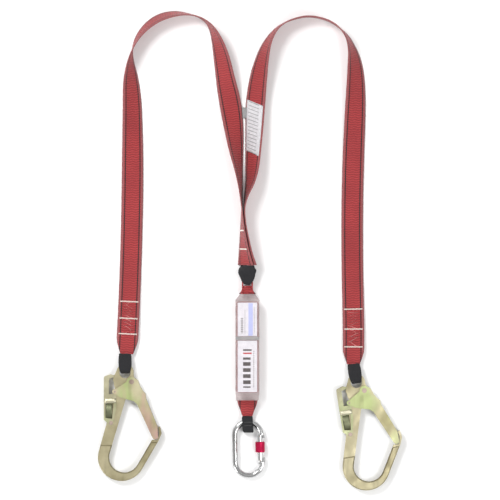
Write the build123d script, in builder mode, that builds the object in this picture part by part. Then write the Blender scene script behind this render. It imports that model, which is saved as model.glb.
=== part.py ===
from build123d import *
import os
from math import atan2, cos, degrees, hypot, radians, sin, tan

# Twin-leg shock absorbing lanyard, laid flat. Millimetres, +Z up, floor at Z = 0.
# The two webbing legs rise from the absorber, turn over and come down to the hooks.

# Webbing
WEBBING_WIDTH = 40.0
WEBBING_THICKNESS = 2.4
DOUBLED_THICKNESS = 5.0
DOUBLED_LENGTH = 107.0
LEG_END_WIDTH = 24.0
LEG_END_TAPER = 24.0
FLOOR_MARGIN = 0.8
TACK_GAP = 0.15
TACK_DISTANCES = (33.0, 66.0, 99.0)
TACK_LENGTH = 22.0
TACK_WIDTH = 3.0
TACK_THICKNESS = 0.5
JUNCTION_TACK_FRAMES = (4, 6)
JUNCTION_TACK_LENGTH = 30.0
FOLD_LAYER = 3.2
ID_LABEL_WIDTH = 34.0
ID_LABEL_THICKNESS = 1.2
ID_LABEL_SPAN = (412.0, 512.0)
INNER_RUN_X = 60.0
HOOK_END_LIFT = [4.2, 2.0, 0.6]

# Hooks: local origin at the eye, hanging along -Y, nose towards +X
HOOK_EYES = {"left": (-230.8, 10.0, 0.0), "right": (196.5, -8.3, 9.0)}
HOOK_HEIGHT = 10.0
EYE_HOLE_RADIUS = 10.5
EYE_RING_RADIUS = 16.0
NECK_HALF = 4.5
BOW_HALF = 7.5
NOSE_HALF = 6.3
BOW_OUTER_CENTRE = (-6.4, -157.0)
BOW_OUTER_RADIUS = 43.6
BOW_INNER_CENTRE = (-1.5, -157.0)
BOW_INNER_RADIUS = 28.0
BOW_SPINE_ANGLE = 164.0
BOW_ARM_ANGLE = -30.3
BOW_LOW_ANGLE = 250.0
BOW_CHAMFER = 2.0
GATE_PIVOT = (12.2, -17.3)
GATE_PIVOT_RADIUS = 3.0
GATE_CHEEK = (6.9, 8.7)
GATE_KNUCKLE_RADIUS = 9.0
GATE_BOSS_RADIUS = 7.0
GATE_TIP = (55.7, -118.1)
GATE_TIP_RADIUS = 5.5
GATE_RIVET_HEAD = (4.4, 9.0, 10.0)
GATE_SPRING_Z = 5.2
GATE_SPRING_COIL = (5.0, 0.4, 0.95, 1.0)
TAIL_PIN = (-19.0, -35.5)
TAIL_PIN_RADIUS = 1.8
TAIL_KNUCKLE_RADIUS = 4.7
TAIL_SLOT_RADIUS = 3.0
TAIL_SLOT_ANGLES = (181.0, 197.0, 212.0)
LEVER_PIVOT = (-25.9, -93.3)
LEVER_PIVOT_RADIUS = 2.0
LEVER_CHEEK = (4.8, 6.6)
LEVER_KNUCKLE_RADIUS = 4.5
LEVER_RIVET_HEAD = (3.8, 6.9, 8.2)
LEVER_WEB_PLACE = (-38.3, -48.8)
LEVER_WEB_WIDTH = 1.8
LEVER_WEB_LENGTH = 77.6
LEVER_SPRING_Y = -66.0
LEVER_SPRING_COIL = (2.4, 0.45, 1.8, 7.4)
RUNNING_FIT = 0.05

# Carabiner: local origin at the centre of its upper bow
CARABINER_PLACE = (-3.5, -106.6, 1.5)
CARABINER_HEIGHT = 9.0
BAR_RADIUS = 5.0
BOW_CENTRELINE = 25.0
STRAIGHT_LENGTH = 49.0
GATE_AXIS_X = 21.5
ROD_RADIUS = 5.5
ROD_TOP = -0.5
HINGE_Y = -46.5
HINGE_PIN_RADIUS = 1.5
LATCH_Y = -2.6
LATCH_PIN_RADIUS = 1.2
TONGUE_HALF = 2.0
SLOT_HALF = 2.3
KNUCKLE_GAP = 0.4
PIN_INSET = 0.6
THREAD_SPAN = (-33, -9)
THREAD_STEP = 2
BORE_RADIUS = 2.6
BORE_START = -42.0
BORE_LENGTH = 19.0
PLUNGER_RADIUS = 2.4
PLUNGER_START = -41.6
PLUNGER_LENGTH = 3.0
SPRING_START = -38.0
SPRING_COIL = (1.9, 0.4, 2.8, 14.0)
THREAD_RADIUS = 5.9
SLEEVE_BORE = 5.98
SLEEVE_RADIUS = 8.75
SLEEVE_TOP = -12.0
LIP_HALF = 3.0
LIP_X = 28.7
LIP_WIDTH = 2.5
TONGUE_X = 22.9
TONGUE_WIDTH = 9.2
LATCH_SLOT_X = 19.6
LATCH_SLOT_WIDTH = 6.8
LATCH_SLOT_CLEARANCE = 0.25
SLEEVE_LENGTH = 20.0
SLEEVE_CHAMFER = 1.2
FLUTES = 24
FLUTE_RADIUS = 0.5
FLUTE_LENGTH = 14.0

# Absorber
ABSORBER_X = -4.8
COVER_WIDTH = 44.4
COVER_HEIGHT = 28.0
COVER_TOP = 154.6
COVER_BOTTOM = -41.5
COVER_WALL = 0.8
COVER_EDGE = 0.5
COVER_CORNER = 6.4
COVER_SHOULDER = (14.0, 143.5)
COVER_FOOT = (20.5, -28.4)
POCKET_GAP = 0.6
PACK_CENTRE_Y = 57.0
PACK_LENGTH = 168.0
PACK_CORNER = 6.0
PACK_WIDTH = 41.6
PACK_BASE = 1.2
PACK_TOP = 26.6
GROOVE_LEVELS = range(4, 25, 4)
GROOVE_DEPTH = 0.8
GROOVE_LENGTH = 150.0
LABEL_WIDTH = 36.0
LABEL_THICKNESS = 0.3
UPPER_LABEL_Y = (77.0, 139.0)
LOWER_LABEL_Y = (-26.0, 69.0)
DIVIDER_Y = (70.0, 76.5)
DIVIDER_THICKNESS = 0.6
LOOP_CENTRE_Y = 176.4
LOOP_INNER = 7.2
LOOP_OUTER = 10.4
LOOP_BASE = 4.0
LOOP_TOP = 16.0
BOTTOM_STRAP = [(COVER_BOTTOM, 40.0, 9.0), (-60.0, 26.0, 7.0), (-71.0, 20.0, 6.4)]
LOOP_TACK_PLACES = [(1.5, -88.0), (1.0, -82.0)]
LOOP_TACK_LENGTH = 15.0
LOOP_TACK_WIDTH = 1.6
LOOP_BUNDLE = [(167.0, 20.8, 4.0, 16.0), (161.0, 24.0, 4.0, 18.0), (COVER_TOP, 34.0, 3.0, 20.0)]

# Leg routes from the junction to the hook: x, y and roll. Roll is how far the edge on
# the right of the travel direction is lifted, in degrees.
LEFT_ROUTE = [
    (-8, 208, -135), (-10, 226, -122), (-12, 246, -112), (-14, 278, -100),
    (-15, 314, -90), (-17, 350, -80), (-21, 386, -68), (-26, 422, -48),
    (-30, 462, -28), (-36, 506, 0), (-45, 550, 30), (-52, 590, 42),
    (-60, 622, 60), (-71, 648, 78), (-88, 664, 90), (-110, 671, 94),
    (-138, 673, 108), (-170, 665, 114), (-197, 644, 110), (-214, 618, 100),
    (-221, 588, 78), (-220, 550, 46), (-217.6, 510, 32), (-217, 462, 24),
    (-216.9, 408, 14), (-217.3, 354, 6), (-218.2, 300, 0), (-219.5, 245, 0),
    (-221.3, 190, 0), (-223.4, 136, 0), (-225.7, 86, 0), (-228, 44, 0),
]
RIGHT_ROUTE = [
    (-2, 208, 45), (-5, 226, 58), (-7, 246, 68), (-10, 278, 80),
    (-11, 314, 90), (-6, 340, 78), (1, 362, 64), (4, 388, 50),
    (6, 420, 45), (8, 462, 35), (10, 508, 26), (15, 552, 36),
    (23, 592, 54), (33, 622, 70), (48, 644, 82), (64, 656, 88),
    (86, 664, 90), (108, 668, 90), (132, 664, 90), (153, 656, 90),
    (169, 643, 87), (181, 628, 78), (187, 612, 70), (192, 592, 55),
    (195, 564, 39), (195.5, 530, 27), (194.3, 488, 15), (192.3, 440, 8),
    (190.6, 388, 2), (189.4, 335, 0), (188.9, 280, 0), (189.1, 226, 0),
    (189.9, 174, 0), (191, 122, 0), (191.8, 73, 0), (191, 25, 0),
]


def save(builder, name):
    """Label one finished piece and write it as its own STEP file."""
    builder.part.label = name
    export_step(builder.part, f"parts/{name}.step")


def hook_plane(side):
    """The mid-plane of a hook, with its origin at the eye."""
    x, y, turn = HOOK_EYES[side]
    x_dir = (cos(radians(turn)), sin(radians(turn)), 0)
    return Plane((x, y, HOOK_HEIGHT), x_dir=x_dir, z_dir=(0, 0, 1))


def carabiner_plane():
    """The mid-plane of the carabiner, with its origin at the upper bow's centre."""
    x, y, turn = CARABINER_PLACE
    x_dir = (cos(radians(turn)), sin(radians(turn)), 0)
    return Plane((x, y, CARABINER_HEIGHT), x_dir=x_dir, z_dir=(0, 0, 1))


def along_y(plane, x, y):
    """A plane square to the local Y axis at a local point, for rods along Y."""
    return Plane(plane.from_local_coords((x, y, 0)), x_dir=plane.x_dir, z_dir=plane.y_dir)


def on_circle(centre, radius, angle):
    """The point of a circle at an angle in degrees."""
    return (
        centre[0] + radius * cos(radians(angle)),
        centre[1] + radius * sin(radians(angle)),
    )


# ---------------------------------------------------------------- webbing legs


def route_heights(route):
    """Route points with the height that keeps the strap's lower edge off the floor."""
    points = []
    for index, (x, y, roll) in enumerate(route):
        tilt = radians(roll)
        thickness = WEBBING_THICKNESS
        from_end = len(route) - 1 - index
        if from_end < len(HOOK_END_LIFT):
            thickness = DOUBLED_THICKNESS
        rise = thickness / 2 * abs(cos(tilt)) + WEBBING_WIDTH / 2 * abs(sin(tilt))
        lift = HOOK_END_LIFT[from_end] if from_end < len(HOOK_END_LIFT) else 0.0
        points.append((x, y, rise + FLOOR_MARGIN + lift, roll))
    return points


def bend(a, b, c, t):
    """A quadratic Bezier span, componentwise."""
    return [p * (1 - t) ** 2 + 2 * q * t * (1 - t) + r * t * t for p, q, r in zip(a, b, c)]


def slope(a, b, c, t):
    """The direction of a quadratic Bezier span."""
    return Vector(*[2 * (q - p) * (1 - t) + 2 * (r - q) * t for p, q, r in zip(a, b, c)][:3])


def leg_frames(route):
    """Planes square to the leg along its smooth centreline, X across the webbing."""
    points = route_heights(route)
    frames = []
    for index in range(1, len(points) - 1):
        before, here, after = points[index - 1 : index + 2]
        start = before if index == 1 else [(p + q) / 2 for p, q in zip(before, here)]
        end = after if index == len(points) - 2 else [(p + q) / 2 for p, q in zip(here, after)]
        steps = (0.0, 0.5, 1.0) if index == len(points) - 2 else (0.0, 0.5)
        for t in steps:
            x, y, z, roll = bend(start, here, end, t)
            forward = slope(start, here, end, t).normalized()
            level = forward.cross(Vector(0, 0, 1)).normalized()
            up = level.cross(forward)
            across = level * cos(radians(roll)) + up * sin(radians(roll))
            frames.append(Plane((x, y, z), x_dir=across, z_dir=forward))
    return frames


def leg_lengths(frames):
    """Distance from each frame to the hook end of the leg."""
    lengths = [0.0]
    for first, second in zip(reversed(frames[:-1]), reversed(frames[1:])):
        lengths.append(lengths[-1] + (first.origin - second.origin).length)
    return list(reversed(lengths))


def print_radii(name, route):
    """Print the largest arc that fits each corner of a route."""
    radii = []
    for before, here, after in zip(route, route[1:], route[2:]):
        first = (here[0] - before[0], here[1] - before[1])
        second = (after[0] - here[0], after[1] - here[1])
        turn = degrees(atan2(second[1], second[0]) - atan2(first[1], first[0]))
        turn = abs((turn + 180) % 360 - 180)
        shorter = min(hypot(*first), hypot(*second))
        radii.append(0.45 * shorter / max(1e-6, tan(radians(turn / 2))))
    print(name, "corner radii", [round(r) for r in radii])


def webbing_leg(side, route):
    """A flat leg that twists along its route, doubled and narrowed at the hook."""
    frames = leg_frames(route)
    lengths = leg_lengths(frames)
    with BuildPart() as leg:
        for frame, left in zip(frames, lengths):
            taper = max(0.0, 1 - left / LEG_END_TAPER)
            width = WEBBING_WIDTH + (LEG_END_WIDTH - WEBBING_WIDTH) * taper
            thickness = DOUBLED_THICKNESS if left < DOUBLED_LENGTH else WEBBING_THICKNESS
            with BuildSketch(frame):
                Rectangle(width, thickness)
        loft(ruled=True)
    print_radii("leg_webbing_" + side, route)
    plain = WEBBING_WIDTH * WEBBING_THICKNESS * (lengths[0] - DOUBLED_LENGTH)
    tapered_off = LEG_END_TAPER * (WEBBING_WIDTH - LEG_END_WIDTH) / 2
    doubled = DOUBLED_THICKNESS * (WEBBING_WIDTH * DOUBLED_LENGTH - tapered_off)
    print("leg_webbing_" + side, "length", round(lengths[0]), "volume", round(leg.part.volume),
          "section x length", round(plain + doubled))
    save(leg, "leg_webbing_" + side)
    return frames, lengths


def leg_stitching(side, frames, lengths):
    """Three bar tacks across the doubled end of a leg."""
    with BuildPart() as stitching:
        for distance in TACK_DISTANCES:
            near = min(range(len(frames)), key=lambda i: abs(lengths[i] - distance))
            frame = frames[near]
            normal = frame.x_dir.cross(frame.z_dir)
            centre = frame.origin + normal * (DOUBLED_THICKNESS / 2 + TACK_GAP)
            with BuildSketch(Plane(centre, x_dir=frame.x_dir, z_dir=normal)):
                Rectangle(TACK_LENGTH, TACK_WIDTH)
            extrude(amount=TACK_THICKNESS)
    save(stitching, "leg_stitching_" + side)


def id_label(frames):
    """A cloth tag sewn flat on the upper face of the right leg's inner run."""
    with BuildPart() as label:
        low, high = ID_LABEL_SPAN
        chosen = [f for f in frames if low < f.origin.Y < high and f.origin.X < INNER_RUN_X]
        for frame in chosen:
            normal = frame.x_dir.cross(frame.z_dir)
            centre = frame.origin + normal * (WEBBING_THICKNESS / 2 + ID_LABEL_THICKNESS / 2)
            with BuildSketch(Plane(centre, x_dir=frame.x_dir, z_dir=frame.z_dir)):
                Rectangle(ID_LABEL_WIDTH, ID_LABEL_THICKNESS)
        loft(ruled=True)
    save(label, "id_label")


# ---------------------------------------------------------------- sleeves


def folded_sleeve(name, plane, block, upper, lower):
    """A webbing fold: a block through the eye, and a layer over and under the ring.

    block is x0, x1, y0, y1 and its half height. Each layer is a list of stations:
    x, y, z, width and roll.
    """
    x0, x1, y0, y1, half = block
    with BuildPart() as sleeve:
        with BuildSketch(plane.offset(-half)):
            with Locations(((x0 + x1) / 2, (y0 + y1) / 2)):
                Rectangle(x1 - x0, y1 - y0)
        extrude(amount=2 * half)
        for layer in (upper, lower):
            for x, y, z, width, roll in layer:
                tilt = radians(roll)
                place = Plane(
                    plane.from_local_coords((x, y, z)),
                    x_dir=plane.x_dir * cos(tilt) + plane.z_dir * sin(tilt),
                    z_dir=plane.y_dir,
                )
                with BuildSketch(place):
                    Rectangle(width, FOLD_LAYER)
            loft(ruled=True)
    save(sleeve, name)


def eye_sleeve(side):
    """Black fold through a hook's eye, merging into the end of its leg."""
    block = (-8.5, 8.5, -2.4, 4.6, 7.8)
    upper = [(0, -2.0, 6.6, 24, 0), (0, 17.5, 6.6, 24, 0), (0, 34, -2.0, 23, 0)]
    lower = [(0, -2.0, -6.6, 24, 0), (0, 17.5, -6.6, 24, 0), (0, 34, -4.0, 24, 0)]
    folded_sleeve("eye_sleeve_" + side, hook_plane(side), block, upper, lower)


# ---------------------------------------------------------------- hooks


def hook_body(side):
    """The forged hook: eye ring, neck, spine, thick bow and nose."""
    plane = hook_plane(side)
    outer = BOW_OUTER_CENTRE, BOW_OUTER_RADIUS
    inner = BOW_INNER_CENTRE, BOW_INNER_RADIUS
    spine_outer = on_circle(*outer, BOW_SPINE_ANGLE)
    arm_outer = on_circle(*outer, BOW_ARM_ANGLE)
    spine_inner = on_circle(*inner, BOW_SPINE_ANGLE)
    arm_inner = on_circle(*inner, BOW_ARM_ANGLE)
    with BuildPart() as body:
        # thick bow
        with BuildSketch(plane.offset(-BOW_HALF)):
            with BuildLine():
                ThreePointArc(spine_outer, on_circle(*outer, BOW_LOW_ANGLE), arm_outer)
                Polyline(arm_outer, (60.9, -128), (47.75, -128), arm_inner)
                ThreePointArc(arm_inner, on_circle(*inner, BOW_LOW_ANGLE), spine_inner)
                Polyline(spine_inner, (-23.8, -134), (-45.3, -134), spine_outer)
            make_face()
        extrude(amount=2 * BOW_HALF)
        rims = body.edges().group_by(Axis.Z)
        chamfer(rims[0] + rims[-1], BOW_CHAMFER)
        # thinner nose with its finger outside the gate
        with BuildSketch(plane.offset(-NOSE_HALF)):
            with BuildLine():
                Polyline(
                    (46.6, -130), (49.5, -125), (59.5, -125), (62.2, -117.5), (62.8, -112),
                    (61.6, -101), (64.8, -100), (67.5, -113), (61.6, -127), (59.8, -130),
                    close=True,
                )
            make_face()
        extrude(amount=2 * NOSE_HALF)
        # flat neck and spine with the eye ring
        with BuildSketch(plane.offset(-NECK_HALF)):
            with BuildLine():
                Polyline(
                    (-13, 9), (-20, -6), (-22, -14), (-22, -34), (-19, -40), (-46.4, -138),
                    (-25.3, -138), (0.8, -50.4), (14, -38), (20, -20), (16.5, -6.6), (12, 10),
                    close=True,
                )
            make_face()
            Circle(EYE_RING_RADIUS)
        extrude(amount=2 * NECK_HALF)
        # boss under the gate
        with BuildSketch(plane.offset(-LEVER_CHEEK[1])):
            with Locations(GATE_PIVOT):
                Circle(GATE_BOSS_RADIUS)
        extrude(amount=LEVER_CHEEK[1] - NECK_HALF)
        # eye, pivot holes and the tail pin's slot
        with BuildSketch(plane.offset(-HOOK_HEIGHT)):
            Circle(EYE_HOLE_RADIUS)
            with Locations(GATE_PIVOT):
                Circle(GATE_PIVOT_RADIUS)
            with Locations(LEVER_PIVOT):
                Circle(LEVER_PIVOT_RADIUS)
        extrude(amount=2 * HOOK_HEIGHT, mode=Mode.SUBTRACT)
        reach = hypot(TAIL_PIN[0] - GATE_PIVOT[0], TAIL_PIN[1] - GATE_PIVOT[1])
        with BuildSketch(plane.offset(-HOOK_HEIGHT)):
            with BuildLine(mode=Mode.PRIVATE) as path:
                ThreePointArc(*[on_circle(GATE_PIVOT, reach, a) for a in TAIL_SLOT_ANGLES])
            SlotArc(path.edges()[0], 2 * TAIL_SLOT_RADIUS)
        extrude(amount=2 * HOOK_HEIGHT, mode=Mode.SUBTRACT)
    save(body, side + "_hook_body")


def rivet(name, plane, place, radius, head):
    """A through rivet. head is its heads' radius and where each starts and ends."""
    head_radius, head_from, head_to = head
    with BuildPart() as pin:
        with BuildSketch(plane.offset(-head_to)):
            with Locations(place):
                Circle(radius)
        extrude(amount=2 * head_to)
        for start in (-head_to, head_from):
            with BuildSketch(plane.offset(start)):
                with Locations(place):
                    Circle(head_radius)
            extrude(amount=head_to - head_from)
    save(pin, name)


def coil(name, plane, size):
    """A round-wire spring along the plane's normal, by radius, wire radius, pitch, height."""
    radius, wire, pitch, height = size
    with BuildPart() as spring:
        with BuildLine():
            turns = Helix(pitch, height, radius, center=plane.origin, direction=plane.z_dir)
        with BuildSketch(Plane(turns @ 0, z_dir=turns % 0)):
            Circle(wire)
        sweep(path=turns)
    save(spring, name)


def hook_gate(side):
    """The gate, a channel of two cheeks and a back, with the pin through its tail."""
    plane = hook_plane(side)
    with BuildPart() as gate:
        for start in (-GATE_CHEEK[1], GATE_CHEEK[0]):
            with BuildSketch(plane.offset(start)):
                with BuildLine():
                    Polyline(
                        (5.8, -15.7), (-22.3, -33), (-20, -39.5), (-10.7, -45.4), (2.5, -49.6),
                        (15.7, -52.9), (22.3, -58.6), (50.4, -119.8), (60.9, -116.5),
                        (60.3, -100.8), (38.8, -47.9), (38, -39.7), (33.9, -35.5),
                        (28.1, -26.4), (24, -14.9), (19, -11.4),
                        close=True,
                    )
                make_face()
                with Locations(GATE_PIVOT):
                    Circle(GATE_KNUCKLE_RADIUS)
                with Locations(TAIL_PIN):
                    Circle(TAIL_KNUCKLE_RADIUS)
                with Locations(GATE_TIP):
                    Circle(GATE_TIP_RADIUS)
                with Locations(GATE_PIVOT):
                    Circle(GATE_PIVOT_RADIUS + RUNNING_FIT, mode=Mode.SUBTRACT)
                with Locations(TAIL_PIN):
                    Circle(TAIL_PIN_RADIUS, mode=Mode.SUBTRACT)
            extrude(amount=GATE_CHEEK[1] - GATE_CHEEK[0])
        # back of the channel along the outer edge
        with BuildSketch(plane.offset(-GATE_CHEEK[0])):
            with BuildLine():
                Polyline((38.8, -47.9), (59.2, -98), (57.3, -98), (36.9, -47.9), close=True)
            make_face()
        extrude(amount=2 * GATE_CHEEK[0])
    save(gate, side + "_gate")
    with BuildPart() as pin:
        with BuildSketch(plane.offset(-GATE_CHEEK[1])):
            with Locations(TAIL_PIN):
                Circle(TAIL_PIN_RADIUS)
        extrude(amount=2 * GATE_CHEEK[1])
    save(pin, side + "_gate_tail_pin")


def lock_lever(side):
    """The locking lever, two cheeks joined by a thumb web."""
    plane = hook_plane(side)
    with BuildPart() as lever:
        for start in (-LEVER_CHEEK[1], LEVER_CHEEK[0]):
            with BuildSketch(plane.offset(start)):
                with BuildLine():
                    Polyline(
                        (-39.2, -87.6), (-39.2, -10), (-38, -7.4), (-27.3, -3.6), (-19, -5.8),
                        (-22.3, -9.6), (-30, -11.5), (-30, -40), (-16, -40), (-16, -66),
                        (-21.8, -92), (-28.9, -96.1),
                        close=True,
                    )
                make_face()
                with Locations(LEVER_PIVOT):
                    Circle(LEVER_KNUCKLE_RADIUS)
                with Locations(LEVER_PIVOT):
                    Circle(LEVER_PIVOT_RADIUS + RUNNING_FIT, mode=Mode.SUBTRACT)
                # window below the thumb step
                with BuildLine():
                    Polyline((-36, -57), (-20, -57), (-24, -86), (-36, -84), close=True)
                make_face(mode=Mode.SUBTRACT)
            extrude(amount=LEVER_CHEEK[1] - LEVER_CHEEK[0])
        # thumb web joining the cheeks
        with BuildSketch(plane.offset(-LEVER_CHEEK[0])):
            with Locations(LEVER_WEB_PLACE):
                Rectangle(LEVER_WEB_WIDTH, LEVER_WEB_LENGTH)
        extrude(amount=2 * LEVER_CHEEK[0])
    save(lever, side + "_lock_lever")


def hook(side):
    """One large hook with its gate, lever, rivets and springs."""
    plane = hook_plane(side)
    hook_body(side)
    rivet(side + "_gate_pivot_rivet", plane, GATE_PIVOT, GATE_PIVOT_RADIUS, GATE_RIVET_HEAD)
    rivet(side + "_lever_rivet", plane, LEVER_PIVOT, LEVER_PIVOT_RADIUS, LEVER_RIVET_HEAD)
    hook_gate(side)
    lock_lever(side)
    torsion = Plane(plane.from_local_coords((*GATE_PIVOT, GATE_SPRING_Z)), x_dir=plane.x_dir)
    coil(side + "_gate_spring", torsion, GATE_SPRING_COIL)
    web_face = LEVER_WEB_PLACE[0] + LEVER_WEB_WIDTH / 2
    push_start = plane.from_local_coords((web_face + LEVER_SPRING_COIL[1], LEVER_SPRING_Y, 0))
    push = Plane(push_start, x_dir=plane.y_dir, z_dir=plane.x_dir)
    coil(side + "_lever_spring", push, LEVER_SPRING_COIL)


# ---------------------------------------------------------------- carabiner


def carabiner():
    """The oval carabiner with its gate, pins, inner spring and screw sleeve."""
    plane = carabiner_plane()
    right = BOW_CENTRELINE
    low = -STRAIGHT_LENGTH
    with BuildPart() as body:
        with BuildLine(plane) as bar:
            ThreePointArc((right, 0), (0, right), (-right, 0))
            Line((-right, 0), (-right, low))
            ThreePointArc((-right, low), (0, low - right), (right, low))
        with BuildSketch(Plane(bar.line @ 0, z_dir=bar.line % 0)):
            Circle(BAR_RADIUS)
        sweep(path=bar.line)
        # clearance for the gate's knuckle
        with BuildSketch(plane.offset(-HOOK_HEIGHT)):
            with Locations((GATE_AXIS_X, HINGE_Y)):
                Circle(ROD_RADIUS + KNUCKLE_GAP)
        extrude(amount=2 * HOOK_HEIGHT, mode=Mode.SUBTRACT)
        # outer lips beside the gate's ends
        with BuildSketch(plane.offset(-LIP_HALF)):
            with Locations((LIP_X, LATCH_Y)):
                Rectangle(LIP_WIDTH, 5.4)
            with Locations((LIP_X, HINGE_Y + 0.5)):
                Rectangle(LIP_WIDTH, 10.0)
        extrude(amount=2 * LIP_HALF)
        # nose and hinge tongues inside the gate's slots
        with BuildSketch(plane.offset(-TONGUE_HALF)):
            with Locations((TONGUE_X, LATCH_Y + 1.0)):
                Rectangle(TONGUE_WIDTH, 7.2)
            with Locations((TONGUE_X, HINGE_Y - 1.5)):
                Rectangle(TONGUE_WIDTH, 10.4)
            with Locations((GATE_AXIS_X, HINGE_Y)):
                Circle(HINGE_PIN_RADIUS, mode=Mode.SUBTRACT)
            slot_height = 2 * (LATCH_PIN_RADIUS + LATCH_SLOT_CLEARANCE)
            with Locations((LATCH_SLOT_X, LATCH_Y)):
                Rectangle(LATCH_SLOT_WIDTH, slot_height, mode=Mode.SUBTRACT)
        extrude(amount=2 * TONGUE_HALF)
    save(body, "carabiner_body")

    with BuildPart() as pin:
        with BuildSketch(plane.offset(PIN_INSET - ROD_RADIUS)):
            with Locations((GATE_AXIS_X, HINGE_Y)):
                Circle(HINGE_PIN_RADIUS)
        extrude(amount=2 * (ROD_RADIUS - PIN_INSET))
    save(pin, "carabiner_hinge_pin")

    with BuildPart() as gate:
        with BuildSketch(along_y(plane, GATE_AXIS_X, HINGE_Y)):
            Circle(ROD_RADIUS)
        extrude(amount=ROD_TOP - HINGE_Y)
        with Locations(Location(plane.from_local_coords((GATE_AXIS_X, HINGE_Y, 0)))):
            Sphere(ROD_RADIUS)
        for y in range(*THREAD_SPAN, THREAD_STEP):
            with BuildSketch(along_y(plane, GATE_AXIS_X, y)):
                Circle(THREAD_RADIUS)
            extrude(amount=THREAD_STEP / 2)
        with BuildSketch(plane.offset(-SLOT_HALF)):
            with Locations((GATE_AXIS_X, -4.0)):
                Rectangle(16, 9.0)
            with Locations((GATE_AXIS_X, -48.5)):
                Rectangle(16, 13.0)
        extrude(amount=2 * SLOT_HALF, mode=Mode.SUBTRACT)
        with BuildSketch(plane.offset(-HOOK_HEIGHT)):
            with Locations((GATE_AXIS_X, HINGE_Y)):
                Circle(HINGE_PIN_RADIUS + RUNNING_FIT)
            with Locations((GATE_AXIS_X, LATCH_Y)):
                Circle(LATCH_PIN_RADIUS)
        extrude(amount=2 * HOOK_HEIGHT, mode=Mode.SUBTRACT)
        with BuildSketch(along_y(plane, GATE_AXIS_X, BORE_START)):
            Circle(BORE_RADIUS)
        extrude(amount=BORE_LENGTH, mode=Mode.SUBTRACT)
    save(gate, "carabiner_gate")

    with BuildPart() as latch:
        with BuildSketch(plane.offset(PIN_INSET - ROD_RADIUS)):
            with Locations((GATE_AXIS_X, LATCH_Y)):
                Circle(LATCH_PIN_RADIUS)
        extrude(amount=2 * (ROD_RADIUS - PIN_INSET))
    save(latch, "carabiner_latch_pin")

    with BuildPart() as plunger:
        with BuildSketch(along_y(plane, GATE_AXIS_X, PLUNGER_START)):
            Circle(PLUNGER_RADIUS)
        extrude(amount=PLUNGER_LENGTH)
    save(plunger, "carabiner_plunger")
    start = plane.from_local_coords((GATE_AXIS_X, SPRING_START, 0))
    inner_spring = Plane(start, x_dir=plane.x_dir, z_dir=plane.y_dir)
    coil("carabiner_gate_spring", inner_spring, SPRING_COIL)

    with BuildPart() as sleeve:
        with BuildSketch(along_y(plane, GATE_AXIS_X, SLEEVE_TOP - SLEEVE_LENGTH)):
            Circle(SLEEVE_RADIUS)
        extrude(amount=SLEEVE_LENGTH)
        ends = sleeve.edges().filter_by(GeomType.CIRCLE)
        chamfer(ends, SLEEVE_CHAMFER)
        # grip flutes around the barrel
        flute_start = SLEEVE_TOP - (SLEEVE_LENGTH + FLUTE_LENGTH) / 2
        for step in range(FLUTES):
            angle = radians(step * 360 / FLUTES)
            rim = plane.from_local_coords((
                GATE_AXIS_X + SLEEVE_RADIUS * cos(angle), flute_start, SLEEVE_RADIUS * sin(angle)
            ))
            with BuildSketch(Plane(rim, x_dir=plane.x_dir, z_dir=plane.y_dir)):
                Circle(FLUTE_RADIUS)
            extrude(amount=FLUTE_LENGTH, mode=Mode.SUBTRACT)
        with BuildSketch(along_y(plane, GATE_AXIS_X, SLEEVE_TOP - SLEEVE_LENGTH)):
            Circle(SLEEVE_BORE)
        extrude(amount=SLEEVE_LENGTH, mode=Mode.SUBTRACT)
    save(sleeve, "screw_sleeve")


# ---------------------------------------------------------------- absorber


def block(name, x, y0, y1, width, z0, z1):
    """A plain rectangular piece."""
    with BuildPart() as piece:
        with BuildSketch(Plane.XY.offset(z0)):
            with Locations((x, (y0 + y1) / 2)):
                Rectangle(width, y1 - y0)
        extrude(amount=z1 - z0)
    save(piece, name)


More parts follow.
